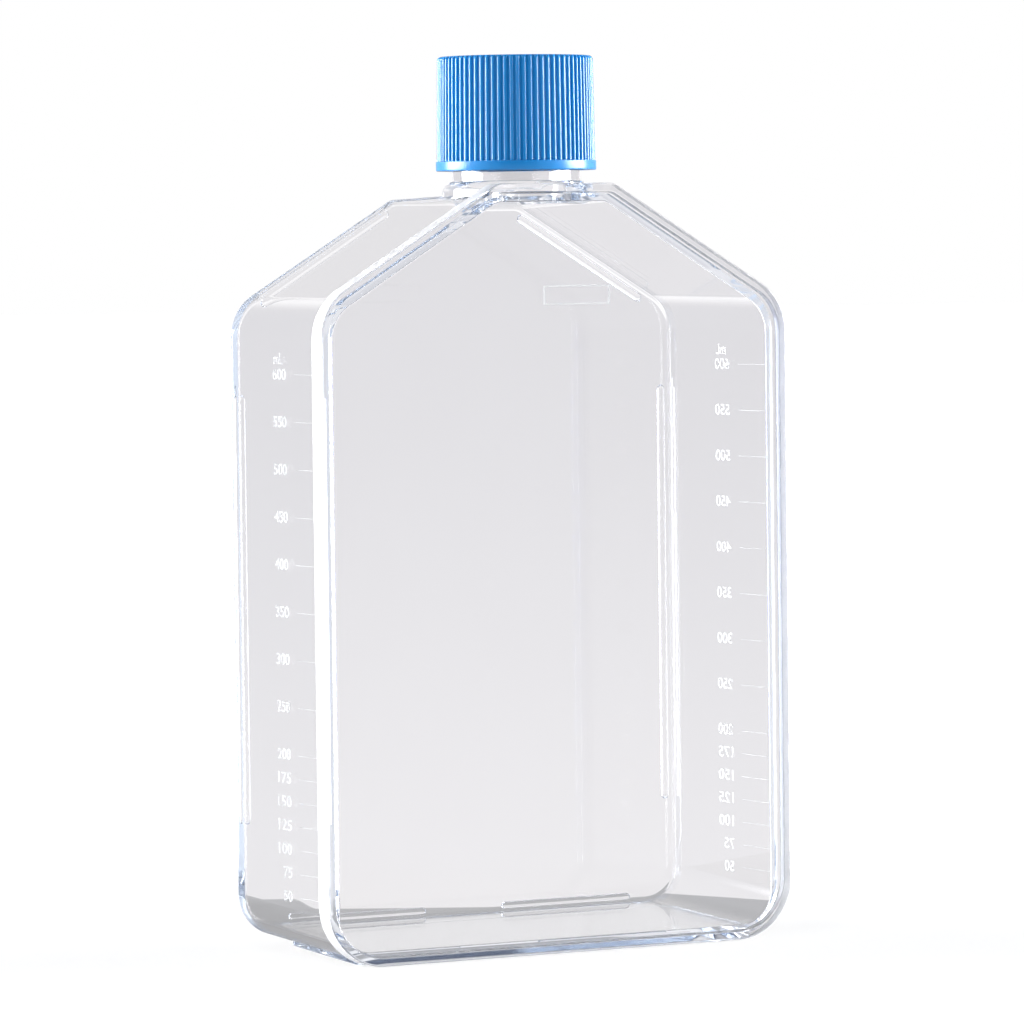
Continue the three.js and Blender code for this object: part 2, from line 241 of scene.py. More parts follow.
def smooth(piece, angle, weigh=True):
    """Smooth shading, with edges sharper than the angle kept, and big faces flat if weigh says so."""
    mesh = piece.data
    mesh.shade_smooth()
    mesh.set_sharp_from_angle(angle=math.radians(angle))
    if weigh:
        weighted = piece.modifiers.new("weighted normals", "WEIGHTED_NORMAL")
        weighted.mode = "FACE_AREA"
        weighted.weight = 100
        weighted.keep_sharp = True
    return piece


# ---- the flask's outline -------------------------------------------------------------------------


def rounded(corners, steps):
    """Points of a convex polygon in the plane, with each corner (x, y, radius) rounded."""
    points = []
    for i, (x, y, radius) in enumerate(corners):
        corner = Vector((x, y))
        back = (Vector(corners[i - 1][:2]) - corner).normalized()
        ahead = (Vector(corners[(i + 1) % len(corners)][:2]) - corner).normalized()
        half = back.angle(ahead) / 2
        middle = (back + ahead).normalized()
        centre = corner + middle * radius / math.sin(half)
        start = corner + back * radius / math.tan(half) - centre
        end = corner + ahead * radius / math.tan(half) - centre
        first = math.atan2(start.y, start.x)
        turn = (math.atan2(end.y, end.x) - first) % (2 * math.pi)
        for s in range(steps + 1):
            angle = first + turn * s / steps
            points.append((centre.x + radius * math.cos(angle), centre.y + radius * math.sin(angle)))
    return points


def outline(inset, base_corner=BASE_CORNER):
    """The front outline as points (x, z), moved inward by the inset."""
    side = HALF_WIDTH - inset
    shoulder = SHOULDER_Z - inset * (1 / math.cos(SLOPE) - math.tan(SLOPE))
    top = TOP_HALF - inset * math.tan(SLOPE / 2)
    base = base_corner - inset
    bend = SHOULDER_CORNER - inset
    return rounded([
        (-side, inset, base),
        (side, inset, base),
        (side, shoulder, bend),
        (top, FLANGE_TOP - inset, TOP_CORNER),
        (-top, FLANGE_TOP - inset, TOP_CORNER),
        (-side, shoulder, bend),
    ], CORNER_STEPS)


def share_of_depth(y):
    """How far a depth lies from the lip (0) to the back (1)."""
    return (y - LIP_BACK_Y) / (BACK_Y - LIP_BACK_Y)


def base_height(y):
    return BASE_INSET + BASE_DRAFT * share_of_depth(y)


def drafted(inset, y):
    """The tray's outline at a depth: from the lip to the back the walls close in, the base rises
    and the top comes down, while the shoulders stay in their planes."""
    share = share_of_depth(y)
    shrink = 1 - share * SIDE_DRAFT / (HALF_WIDTH - SIDE_INSET)
    drop = share * TOP_DRAFT
    points = []
    for x, z in outline(inset, TRAY_BASE_CORNER + SIDE_INSET):
        if z > (SHOULDER_Z + FLANGE_TOP) / 2:
            points.append((x * shrink + math.copysign(drop / math.tan(SLOPE), x), y, z - drop))
        else:
            lift = (base_height(y) - SIDE_INSET) * (BODY_TOP - z) / BODY_TOP
            points.append((x * shrink, y, z + lift))
    return points


def undrafted(inset, y):
    """The plate's and the flange's outline at a depth."""
    return [(x, y, z) for x, z in outline(inset)]


# ---- the clear flask -----------------------------------------------------------------------------


def outer_skin():
    """Panel, rim, flange, lip, tray walls and back, as one solid."""
    foot = RIM_WIDTH + RIM_DRAFT + RIM_FILLET
    flange = [(foot, PANEL_Y)]
    flange += arc(foot, PANEL_Y - RIM_FILLET, RIM_FILLET, RIM_FILLET, 90, 180, 4)[1:]
    flange += arc(RIM_WIDTH - RIM_FILLET, FRONT_Y + RIM_INNER_EDGE, RIM_FILLET, RIM_INNER_EDGE, 0, -90, 4)
    edge = RIM_OUTER_EDGE
    flange += arc(edge, FRONT_Y + edge, edge, edge, -90, -180, 6)
    edge = LIP_EDGE
    flange += arc(edge, LIP_BACK_Y - edge, edge, edge, 180, 90, 4)
    tray = arc(SIDE_INSET - edge, LIP_BACK_Y + edge, edge, edge, -90, 0, 4)
    edge = BACK_EDGE
    tray += arc(SIDE_INSET + edge, BACK_Y - edge, edge, edge, 180, 90, 10)
    loops = [undrafted(inset, y) for inset, y in flange]
    loops += [drafted(inset, y) for inset, y in tray]
    return skin("flask_clear", loops)


def cavity():
    """The chamber, closed at the front by the plate."""
    inset = SIDE_INSET + WALL
    back = BACK_Y - WALL
    edges = arc(inset + MOUTH_EDGE, WELD_Y + MOUTH_EDGE, MOUTH_EDGE, MOUTH_EDGE, 270, 180, 4)
    edges += arc(inset + INNER_EDGE, back - INNER_EDGE, INNER_EDGE, INNER_EDGE, 180, 90, 8)
    return skin("cavity", [drafted(offset, y) for offset, y in edges])


def thread_ridge(height, half_width, start, end, shift=0.0):
    """A function of angle and z: the height of a right-handed thread that fades at both its ends.
    The shift moves it down the axis."""
    pitch = LEAD / THREAD_STARTS

    def ridge(angle, z):
        if not start < z < end:
            return 0.0
        phase = (z - start - LEAD * angle / (2 * math.pi) + shift) / pitch
        away = abs(phase - round(phase)) * pitch
        side = max(0.0, min(1.0, (half_width - away) / (half_width * THREAD_FLANK)))
        fade = max(0.0, min(1.0, (z - start) / THREAD_FADE, (end - z) / THREAD_FADE))
        return height * fade * side * side * (3 - 2 * side)
    return ridge


def threaded_wall(radius, start, end):
    """Profile points close enough together for a thread to stand on."""
    steps = int((end - start) / THREAD_STEP)
    return [(radius, start + (end - start) * i / steps) for i in range(steps + 1)]


def neck():
    """The neck as a solid plug, from the shoulders up to its rim."""
    profile = [(NEAR_AXIS, SHOULDER_Z), (NECK_RADIUS + ROOT_FLARE, SHOULDER_Z)]
    profile += arc(NECK_RADIUS, BODY_TOP, ROOT_FLARE, ROOT_HEIGHT, 0, 90, 12)
    profile += threaded_wall(NECK_RADIUS, THREAD_FROM, THREAD_TO)
    profile += arc(NECK_RADIUS - NECK_EDGE, NECK_TOP - NECK_EDGE, NECK_EDGE, NECK_EDGE, 0, 90, 5)
    profile.append((NEAR_AXIS, NECK_TOP))
    ridge = thread_ridge(THREAD_HEIGHT, THREAD_HALF_WIDTH, THREAD_FROM, THREAD_TO)
    return lathe("neck", profile, NECK_SEGMENTS, ridge=ridge)


def bore():
    """The neck's bore, eased at the rim and running down into the chamber."""
    radius = NECK_RADIUS - NECK_WALL
    profile = [(NEAR_AXIS, BODY_TOP - BORE_REACH), (radius, BODY_TOP - BORE_REACH)]
    profile += [(radius + flare, NECK_TOP + rise) for flare, rise in BORE_EDGE]
    profile.append((NEAR_AXIS, profile[-1][1]))
    return lathe("bore", profile, NECK_SEGMENTS)


def front_cutter():
    """A block that cuts the neck's root flush with the weld plane."""
    half, depth, below, above = 40, 30, 5, 20
    points = [(x, y, z) for x in (-half, half) for y in (WELD_Y - depth, WELD_Y)
              for z in (SHOULDER_Z - below, NECK_TOP + above)]
    faces = [(0, 1, 3, 2), (4, 6, 7, 5), (0, 4, 5, 1), (2, 3, 7, 6), (0, 2, 6, 4), (1, 5, 7, 3)]
    return mesh_object("front_cutter", points, faces)


def bead(start, end):
    """A bar with round ends and a domed top, from start to end (x, z), standing on the back."""
    ahead = (Vector(end) - Vector(start)).normalized()
    side = Vector((-ahead.y, ahead.x))
    levels = [(1.0, BACK_Y - BEAD_ROOT)]
    for degrees in (0, 15, 30, 45, 60, 75, 88):
        angle = math.radians(degrees)
        levels.append((math.cos(angle), BEAD_Y - BEAD_DOME + BEAD_DOME * math.sin(angle)))
    loops = []
    for share, y in levels:
        loop = []
        for centre, half in ((end, BEAD_WIDTH / 2 * share), (start, -BEAD_WIDTH / 2 * share)):
            for i in range(9):
                angle = math.pi / 2 - math.pi * i / 8
                p = Vector(centre) + ahead * half * math.cos(angle) + side * half * math.sin(angle)
                loop.append((p.x, y, p.y))
        loops.append(loop)
    return skin("bead", loops)


def bead_runs():
    """Start and end (x, z) of the beads on the right half."""
    inset = SIDE_INSET + SIDE_DRAFT + BEAD_INSET
    side = HALF_WIDTH - inset
    base = BASE_INSET + BASE_DRAFT + BASE_BEAD_INSET
    top_of_slope = FLANGE_TOP - inset / math.cos(SLOPE)

    def on_slope(x):
        return (x, top_of_slope - (x - TOP_HALF) * math.tan(SLOPE))
    return [
        ((side, SIDE_BEAD_LOW), (side, SHOULDER_Z - SIDE_BEAD_TO_SHOULDER)),
        ((BASE_BEAD_START, base), (HALF_WIDTH - BASE_BEAD_END_INSET, base)),
        (on_slope(TOP_HALF + SLOPE_BEAD_START), on_slope(side - SLOPE_BEAD_END_INSET)),
    ]


def foot_pad():
    """The pad under the base. It rises with the base, and is crowned across."""
    front, back = WELD_Y + PAD_FRONT_GAP, LIP_BACK_Y + PAD_LENGTH
    plan = rounded([
        (-PAD_HALF, front, PAD_FRONT_CORNER),
        (PAD_HALF, front, PAD_FRONT_CORNER),
        (PAD_HALF, back, PAD_BACK_CORNER),
        (-PAD_HALF, back, PAD_BACK_CORNER),
    ], 6)
    loops = []
    for shrink, rise in [*PAD_EDGE, (0, BASE_INSET + WALL / 2)]:
        loop = []
        for x, y in plan:
            sx = x - math.copysign(shrink, x)
            sy = y - math.copysign(shrink, y - (front + back) / 2)
            crown = PAD_CROWN * (sx / PAD_HALF) ** 2
            loop.append((sx, sy, max(base_height(sy) - BASE_INSET + rise, PAD_LOWEST) + crown))
        loops.append(loop)
    return skin("foot_pad", loops)


def on_weld_edge(face):
    """Whether a face of the flask belongs to the flange's outer face."""
    x, y, z = face.center / MM
    slack = 0.1
    outward = face.normal.x * x + face.normal.z * (z - SHOULDER_Z / 2) > 0
    upright = abs(face.normal.y) < 0.5
    return outward and upright and y < LIP_BACK_Y - slack and z < FLANGE_TOP + slack


def clear_flask():
    """The moulded body and the plate welded to it, as one piece."""
    flask = outer_skin()
    root = combine(neck(), front_cutter(), "DIFFERENCE")
    combine(flask, root, "UNION")
    combine(flask, foot_pad(), "UNION")
    for start, end in bead_runs():
        combine(flask, bead(start, end), "UNION")
        combine(flask, bead((-end[0], end[1]), (-start[0], start[1])), "UNION")
    combine(flask, cavity(), "DIFFERENCE")
    combine(flask, bore(), "DIFFERENCE")
    return smooth(flask, angle=28)


# ---- cap, ring and membrane ----------------------------------------------------------------------

# The cap's wall. A rib's half width is a share of its pitch, and its foot is given as (height over
# the band, share of the depth) pairs.
RIBS = 78
POINTS_PER_RIB = 16
RIB_DEPTH = 0.5
RIB_HALF_WIDTH = 0.36
RIB_FOOT = [(0.0, 0.5), (0.12, 0.85), (0.35, 1.0)]
RIB_SET_BACK = 0.02
BAND_TOP = CAP_LOW.z + 2.2
BAND_LOWER_EDGE = 0.3
BAND_UPPER_EDGE = 0.2
CREST_RADIUS = BAND_RADIUS - 0.2
CAP_TAPER = 0.3
CAP_EDGE = 0.9
CAP_TOP_RIM = 1.2

# The cap's inside, with its thread.
CAP_BORE = 15.65
CAP_MOUTH = CAP_BORE + 0.35
CAP_MOUTH_HEIGHT = 0.5
CAP_CEILING = RING_HIGH.z + 0.3
CEILING_BEVEL = 0.3
CAP_THREAD_FROM = CAP_LOW.z + 4
CAP_THREAD_TO = CAP_CEILING - 3.2
CAP_THREAD_HEIGHT = 0.85
CAP_THREAD_HALF_WIDTH = 0.8

# The vent in the cap's top: slots in a recess as wide as the membrane.
RECESS_DEPTH = 0.5
RECESS_BEVEL = 0.25
RECESS_FLARE = 0.1
SLOTS = 8
SLOT_INNER = 3.2
SLOT_OUTER = DISC_RADIUS - 2.2
SLOT_HALF_WIDTH = 0.8
SLOT_OVERCUT = 3

# The seal ring, and the membrane on its seat.
PLUG_DEPTH = 3
CLEARANCE = 0.3
SEAT_WIDTH = 1.4
MEMBRANE_EDGE = 0.05
RIPPLE_DEPTH = 0.05
RIPPLE_TURN = 1.1


def rib_height(turn):
    """How far the surface stands out, from 0 in a groove to 1 on a crest, over one rib's pitch."""
    away = abs(turn - 0.5) / RIB_HALF_WIDTH
    return math.sqrt(max(0.0, 1 - away * away))


def cap_outside():
    """The plain band, the ribs over it and the edge of the top."""
    count = RIBS * POINTS_PER_RIB

    def loop(radius, z, depth):
        points = []
        for i in range(count):
            turn = (i % POINTS_PER_RIB) / POINTS_PER_RIB
            angle = 2 * math.pi * i / count
            r = radius - depth * (1 - rib_height(turn))
            points.append((r * math.cos(angle), NECK_Y + r * math.sin(angle), z))
        return points
    low, top = CAP_LOW.z, CAP_HIGH.z
    loops = [loop(CREST_RADIUS - RIB_DEPTH, low, 0)]
    edge = BAND_LOWER_EDGE
    loops += [loop(r, z, 0) for r, z in arc(BAND_RADIUS - edge, low + edge, edge, edge, -90, 0, 4)]
    edge = BAND_UPPER_EDGE
    loops += [loop(r, z, 0) for r, z in arc(BAND_RADIUS - edge, BAND_TOP - edge, edge, edge, 0, 80, 4)]
    for rise, share in RIB_FOOT:
        loops.append(loop(CREST_RADIUS - RIB_SET_BACK, BAND_TOP + rise, RIB_DEPTH * share))
    edge = CAP_EDGE
    narrow = CREST_RADIUS - CAP_TAPER
    for r, z in arc(narrow - edge, top - edge, edge, edge, 0, 90, 8):
        fade = max(0.0, (r - narrow + edge) / edge)
        loops.append(loop(r, z, RIB_DEPTH * fade))
    loops.append(loop(narrow - edge - CAP_TOP_RIM, top, 0))
    return skin("cap_detail", loops)


def cap_inside():
    """The hollow, with the cap's own thread left standing between the neck's ridges."""
    low = CAP_LOW.z
    profile = [
        (NEAR_AXIS, low - OVERCUT),
        (CAP_MOUTH, low - OVERCUT),
        (CAP_MOUTH, low),
        (CAP_BORE, low + CAP_MOUTH_HEIGHT),
    ]
    profile += threaded_wall(CAP_BORE, CAP_THREAD_FROM, CAP_THREAD_TO)
    profile += [
        (CAP_BORE, CAP_CEILING - CEILING_BEVEL),
        (CAP_BORE - CEILING_BEVEL, CAP_CEILING),
        (NEAR_AXIS, CAP_CEILING),
    ]
    half_pitch = LEAD / THREAD_STARTS / 2
    shift = CAP_THREAD_FROM - THREAD_FROM + half_pitch
    ridge = thread_ridge(CAP_THREAD_HEIGHT, CAP_THREAD_HALF_WIDTH, CAP_THREAD_FROM, CAP_THREAD_TO, shift)
    return lathe("cap_inside", profile, NECK_SEGMENTS, ridge=lambda angle, z: -ridge(angle, z))


def vent_cutters():
    """The recess in the top, and the slots through it."""
    floor_z = CAP_HIGH.z - RECESS_DEPTH
    cutters = [lathe("recess", [
        (NEAR_AXIS, floor_z),
        (DISC_RADIUS - RECESS_BEVEL, floor_z),
        (DISC_RADIUS, floor_z + RECESS_BEVEL),
        (DISC_RADIUS + RECESS_FLARE, CAP_HIGH.z + OVERCUT),
        (NEAR_AXIS, CAP_HIGH.z + OVERCUT),
    ], DISC_SEGMENTS)]
    half = SLOT_HALF_WIDTH
    for i in range(SLOTS):
        turn = Matrix.Rotation(2 * math.pi * i / SLOTS, 2)
        plan = []
        for end, first in ((SLOT_OUTER, -math.pi / 2), (SLOT_INNER, math.pi / 2)):
            for s in range(11):
                angle = first + math.pi * s / 10
                plan.append(turn @ Vector((end + half * math.cos(angle), half * math.sin(angle))))
        cutters.append(skin("slot", [
            [(p.x, NECK_Y + p.y, z) for p in plan]
            for z in (CAP_CEILING - SLOT_OVERCUT, CAP_HIGH.z + SLOT_OVERCUT)
        ]))
    return cutters


def cap():
    """The ribbed shell, hollow and slotted."""
    shell = combine(cap_outside(), cap_inside(), "DIFFERENCE")
    for cutter in vent_cutters():
        combine(shell, cutter, "DIFFERENCE")
    return smooth(shell, angle=35, weigh=False)


def ring():
    """The seal ring: a plug in the neck, a flange on its rim, and a seat for the membrane."""
    tip, low, high = RING_LOW.z, RING_LOW.z + PLUG_DEPTH, RING_HIGH.z
    seat = DISC_LOW.z
    bore_radius = DISC_RADIUS - SEAT_WIDTH
    pocket = DISC_RADIUS + CLEARANCE
    plug = NECK_RADIUS - NECK_WALL - CLEARANCE
    lead_in, lead_height = 0.5, 0.6
    bevel, soft, nick = 0.2, 0.15, 0.1
    return smooth(lathe("ring_detail", [
        (bore_radius + soft, low),
        (DISC_RADIUS, low),
        (DISC_RADIUS, tip + bevel),
        (DISC_RADIUS + bevel, tip),
        (plug - lead_in, tip),
        (plug - soft, tip + bevel),
        (plug, tip + lead_height),
        (plug, low - nick),
        (plug + nick, low),
        (RING_RADIUS - bevel, low),
        (RING_RADIUS, low + bevel),
        (RING_RADIUS, high - bevel),
        (RING_RADIUS - bevel, high),
        (pocket + soft, high),
        (pocket, high - soft),
        (pocket, seat),
        (bore_radius + nick, seat),
        (bore_radius, seat - nick),
        (bore_radius, low + soft),
    ], RING_SEGMENTS, closed=True), angle=40)


def membrane():
    """A thin disc with a slightly rippled top."""
    low, high = DISC_LOW.z, DISC_HIGH.z
    edge = MEMBRANE_EDGE
    profile = [
        (NEAR_AXIS, low),
        (DISC_RADIUS - edge, low),
        (DISC_RADIUS, low + edge),
        (DISC_RADIUS, high - edge),
    ]
    for i in range(13):
        r = (DISC_RADIUS - edge) * (1 - i / 12)
        profile.append((max(r, NEAR_AXIS), high - RIPPLE_DEPTH * abs(math.sin(r * RIPPLE_TURN))))
    return smooth(lathe("membrane_detail", profile, DISC_SEGMENTS), angle=50)


# ---- materials -----------------------------------------------------------------------------------


class Graph:
    """A node tree, with short calls that add nodes and return their output."""

    def __init__(self, tree):
        self.nodes = tree.nodes
        self.links = tree.links

    def new(self, kind):
        """A node, whose kind is its type without the ShaderNode in front."""
        return self.nodes.new("ShaderNode" + kind)

    def feed(self, socket, value):
        """Sets a socket to a number or a colour, or links an output to it."""
        if isinstance(value, tuple):
            socket.default_value = (*value, 1)
        elif isinstance(value, float):
            socket.default_value = value
        else:
            self.links.new(value, socket)

    def place(self):
        """Where a point lies on the piece."""
        return self.new("TexCoord").outputs["Object"]

    def noise(self, place, scale, detail):
        node = self.new("TexNoise")
        node.inputs["Scale"].default_value = scale
        node.inputs["Detail"].default_value = detail
        self.feed(node.inputs["Vector"], place)
        return node.outputs["Fac"]

    def tint(self, place, scale, detail, first, second, stops=(0.3, 0.7)):
        """A colour that drifts between two close tones."""
        node = self.new("ValToRGB")
        self.feed(node.inputs["Fac"], self.noise(place, scale, detail))
        for element, stop, colour in zip(node.color_ramp.elements, stops, (first, second)):
            element.position = stop
            element.color = (*colour, 1)
        return node.outputs["Color"]

    def grain(self, place, scale, detail, distance, strength):
        """A normal that fine noise roughens."""
        node = self.new("Bump")
        node.inputs["Distance"].default_value = distance
        node.inputs["Strength"].default_value = strength
        self.feed(node.inputs["Height"], self.noise(place, scale, detail))
        return node.outputs["Normal"]

    def mixed(self, fac, a, b):
        """A colour between two."""
        node = self.new("Mix")
        node.data_type = "RGBA"
        self.feed(node.inputs["Factor"], fac)
        self.feed(node.inputs["A"], a)
        self.feed(node.inputs["B"], b)
        return node.outputs["Result"]

    def blended(self, fac, a, b):
        """A shader between two."""
        node = self.new("MixShader")
        for socket, value in zip(node.inputs, (fac, a, b)):
            self.feed(socket, value)
        return node.outputs["Shader"]

    def glow(self, colour):
        node = self.new("Emission")
        self.feed(node.inputs["Color"], colour)
        return node.outputs["Emission"]

    def reckon(self, operation, first, second=0.0):
        node = self.new("Math")
        node.operation = operation
        self.feed(node.inputs[0], first)
        self.feed(node.inputs[1], second)
        return node.outputs["Value"]

    def along(self, vector, axis):
        """How far a vector reaches along an axis."""
        node = self.new("VectorMath")
        node.operation = "DOT_PRODUCT"
        self.feed(node.inputs[0], vector)
        node.inputs[1].default_value = axis
        return node.outputs["Value"]

    def past_box(self, place, sides):
        """How far a place lies outside a box, whose sides are given as (axis, half width) pairs."""
        past = None
        for axis, half in sides:
            reach = self.reckon("ABSOLUTE", self.along(place, axis))
            over = self.reckon("SUBTRACT", reach, half)
            past = over if past is None else self.reckon("MAXIMUM", past, over)
        return past

    def smooth_share(self, value, zero, one):
        """A share that eases from 0 to 1 as the value goes from zero to one."""
        node = self.new("MapRange")
        node.interpolation_type = "SMOOTHSTEP"
        self.feed(node.inputs["Value"], value)
        node.inputs["From Min"].default_value = zero
        node.inputs["From Max"].default_value = one
        return node.outputs["Result"]


def material(name, **values):
    """A material, its graph and its main shader, with the shader's uniform values set. They are
    named like its sockets, with _ for a space."""
    m = bpy.data.materials.new(name)
    m.use_nodes = True
    shader = m.node_tree.nodes["Principled BSDF"]
    for socket, value in values.items():
        shader.inputs[socket.replace("_", " ")].default_value = value
    return m, Graph(m.node_tree), shader


def surfaced(m, graph, surface):
    """The material, with a shader other than its main one on its surface."""
    graph.feed(graph.nodes["Material Output"].inputs["Surface"], surface)
    return m


def clear_plastic():
    """Polystyrene: clear, and bluish along its length."""
    m, graph, shader = material("clear_plastic_look", Roughness=0.0, IOR=1.5, Transmission_Weight=1.0)
    place = graph.place()
    tint = graph.tint(place, 40, 2, (0.985, 0.982, 0.984), (0.99, 0.988, 0.99))
    graph.feed(shader.inputs["Base Color"], tint)
    graph.feed(shader.inputs["Normal"], graph.grain(place, 60, 1, 0.0002, 0.01))
    depth = graph.new("VolumeAbsorption")
    depth.inputs["Color"].default_value = (0.17, 0.5, 0.92, 1)
    depth.inputs["Density"].default_value = 2
    graph.feed(graph.nodes["Material Output"].inputs["Volume"], depth.outputs["Volume"])
    return m


def weld_edge():
    """The flange's outer face, slightly rough as moulded and half veiled by haze."""
    m, graph, shader = material("weld_edge_look", Roughness=0.35, IOR=1.5, Transmission_Weight=1.0)
    place = graph.place()
    tint = graph.tint(place, 300, 3, (0.95, 0.955, 0.965), (0.99, 0.99, 0.995))
    graph.feed(shader.inputs["Base Color"], tint)
    graph.feed(shader.inputs["Normal"], graph.grain(place, 1400, 3, 0.0001, 0.15))
    haze = graph.new("BsdfDiffuse")
    through = graph.new("BsdfTranslucent")
    for node in (haze, through):
        graph.feed(node.inputs["Color"], tint)
    veil = graph.blended(0.5, haze.outputs["BSDF"], through.outputs["BSDF"])
    return surfaced(m, graph, graph.blended(0.5, shader.outputs["BSDF"], veil))


def blue_plastic():
    """The cap's glossy blue, duller on the plain band."""
    m, graph, shader = material("blue_plastic_look", IOR=1.49)
    place = graph.place()
    tint = graph.tint(place, 90, 3, (0.003, 0.185, 0.49), (0.004, 0.195, 0.52))
    graph.feed(shader.inputs["Base Color"], tint)
    height = graph.along(place, (0, 0, 1))
    above_band = graph.smooth_share(height, BAND_TOP * MM, BAND_TOP * MM + 0.0002)
    gloss = graph.mixed(above_band, (0.3, 0.3, 0.3), (0.08, 0.08, 0.08))
    graph.feed(shader.inputs["Roughness"], gloss)
    graph.feed(shader.inputs["Normal"], graph.grain(place, 900, 3, 0.00005, 0.04))
    return m


def white_plastic():
    """The seal ring's dull white."""
    m, graph, shader = material("white_plastic_look", Roughness=0.45)
    place = graph.place()
    tint = graph.tint(place, 120, 2, (0.78, 0.79, 0.8), (0.84, 0.85, 0.86))
    graph.feed(shader.inputs["Base Color"], tint)
    graph.feed(shader.inputs["Normal"], graph.grain(place, 700, 2, 0.00004, 0.3))
    return m


def membrane_paper():
    """The membrane's fibrous off-white."""
    m, graph, shader = material("membrane_look", Roughness=0.9)
    place = graph.place()
    tint = graph.tint(place, 1500, 6, (0.74, 0.74, 0.72), (0.88, 0.88, 0.86))
    graph.feed(shader.inputs["Base Color"], tint)
    graph.feed(shader.inputs["Normal"], graph.grain(place, 2200, 4, 0.0001, 0.6))
    return m


def white_ink():
    """Thin white print, lit from both sides."""
    m, graph, shader = material("white_ink_look", Roughness=0.6)
    tint = graph.tint(graph.place(), 1200, 4, (0.9, 0.905, 0.91), (0.96, 0.965, 0.97), (0.25, 0.6))
    graph.feed(shader.inputs["Base Color"], tint)
    through = graph.new("BsdfTranslucent")
    graph.feed(through.inputs["Color"], tint)
    return surfaced(m, graph, graph.blended(0.8, shader.outputs["BSDF"], through.outputs["BSDF"]))


# ---- print on the walls and the plate ------------------------------------------------------------

# Millilitres, and the places of their marks: equal steps of 50 mL up to the top one.
GRADUATIONS = [600, 550, 500, 450, 400, 350, 300, 250, 200, 175, 150, 125, 100, 75, 50]
STEP_VOLUME = 50
MARK_STEP = 10.587
TOP_MARK_Z = 130.97
DIGIT_WIDTH = 2.1
DIGIT_HEIGHT = 2.5
NUMBERS_Y = NECK_Y + 2.4
TICK_START_Y = LIP_BACK_Y + 0.3
TICK_END_Y = NECK_Y - 1.6
TICK_HEIGHT = 0.09
UNIT_WIDTH = 4.3
UNIT_HEIGHT = 2.4
UNIT_Y = NUMBERS_Y + 1.5
UNIT_Z = 133.2
STROKE_GAIN = 0.011

# The ink's thickness, and the air behind it.
INK = 0.03
INK_GAP = 0.015

# The printed rectangle's edges, and the width of its upright and level lines.
FRAME_LEFT, FRAME_RIGHT = -3.1, 14.2
FRAME_LOW, FRAME_HIGH = 145.6, 149.9
UPRIGHT_LINE = 0.55
LEVEL_LINE = 0.28


def wall_x(y):
    """Half the width over the outside of the side walls, at a depth."""
    return HALF_WIDTH - SIDE_INSET - share_of_depth(y) * SIDE_DRAFT


def text_mesh(words, height):
    """Letters as points (across, up, on the outer face) and faces, with the lower left corner at
    the origin, in millimetres."""
    curve = bpy.data.curves.new("words", "FONT")
    curve.body = words
    curve.size = 1
    curve.extrude = 0.01
    curve.offset = STROKE_GAIN
    piece = bpy.data.objects.new("words", curve)
    bpy.context.scene.collection.objects.link(piece)
    graph = bpy.context.evaluated_depsgraph_get()
    mesh = bpy.data.meshes.new_from_object(piece.evaluated_get(graph))
    points = [v.co.copy() for v in mesh.vertices]
    faces = [tuple(p.vertices) for p in mesh.polygons]
    bpy.data.objects.remove(piece)
    bpy.data.curves.remove(curve)
    bpy.data.meshes.remove(mesh)
    low_x = min(p.x for p in points)
    low_y = min(p.y for p in points)
    scale = height / (max(p.y for p in points) - low_y)
    flat = [((p.x - low_x) * scale, (p.y - low_y) * scale, p.z > 0) for p in points]
    return flat, faces


def graduations(side):
    """The printed scale on one side wall, read from outside: side is -1 for left and 1 for right."""
    points, faces = [], []

    def add(flat, polygons, front, width, bottom):
        span = max(p[0] for p in flat)
        first = len(points)
        for u, v, outer in flat:
            share = u / span if side > 0 else 1 - u / span
            y = front + share * width
            x = wall_x(y) + INK_GAP + (INK if outer else 0)
            points.append((side * x, y, bottom + v))
        faces.extend(tuple(first + i for i in polygon) for polygon in polygons)

    corners = ((0, 0), (1, 0), (1, 1), (0, 1))
    bar = [(u, v * TICK_HEIGHT, outer) for outer in (True, False) for u, v in corners]
    bar_faces = [(0, 1, 2, 3), (7, 6, 5, 4), (0, 4, 5, 1), (1, 5, 6, 2), (2, 6, 7, 3), (3, 7, 4, 0)]
    for number in GRADUATIONS:
        z = TOP_MARK_Z - (GRADUATIONS[0] - number) / STEP_VOLUME * MARK_STEP
        flat, polygons = text_mesh(str(number), DIGIT_HEIGHT)
        add(flat, polygons, NUMBERS_Y, DIGIT_WIDTH * len(str(number)), z - DIGIT_HEIGHT / 2)
        add(bar, bar_faces, TICK_START_Y, TICK_END_Y - TICK_START_Y, z - TICK_HEIGHT / 2)
    flat, polygons = text_mesh("mL", UNIT_HEIGHT)
    add(flat, polygons, UNIT_Y, UNIT_WIDTH, UNIT_Z)
    return mesh_object("graduations_left" if side < 0 else "graduations_right", points, faces)


def blank_frame():
    """A plain printed rectangle on the front plate."""
    def rectangle(upright, level, y):
        left, right = FRAME_LEFT + upright, FRAME_RIGHT - upright
        low, high = FRAME_LOW + level, FRAME_HIGH - level
        return [(left, y, low), (right, y, low), (right, y, high), (left, y, high)]
    back = PANEL_Y - INK_GAP
    front = back - INK
    return skin("blank_frame", [
        rectangle(0, 0, front),
        rectangle(0, 0, back),
        rectangle(UPRIGHT_LINE, LEVEL_LINE, back),
        rectangle(UPRIGHT_LINE, LEVEL_LINE, front),
    ], closed=True)


# ---- putting it together -------------------------------------------------------------------------


def dress(piece, look, body, slot, *nodes):
    """Gives a piece its look and its body, and hides the solids it stands for."""
    piece.data.materials.clear()
    piece.data.materials.append(look)
    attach(piece, body)
    if nodes:
        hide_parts(*nodes)


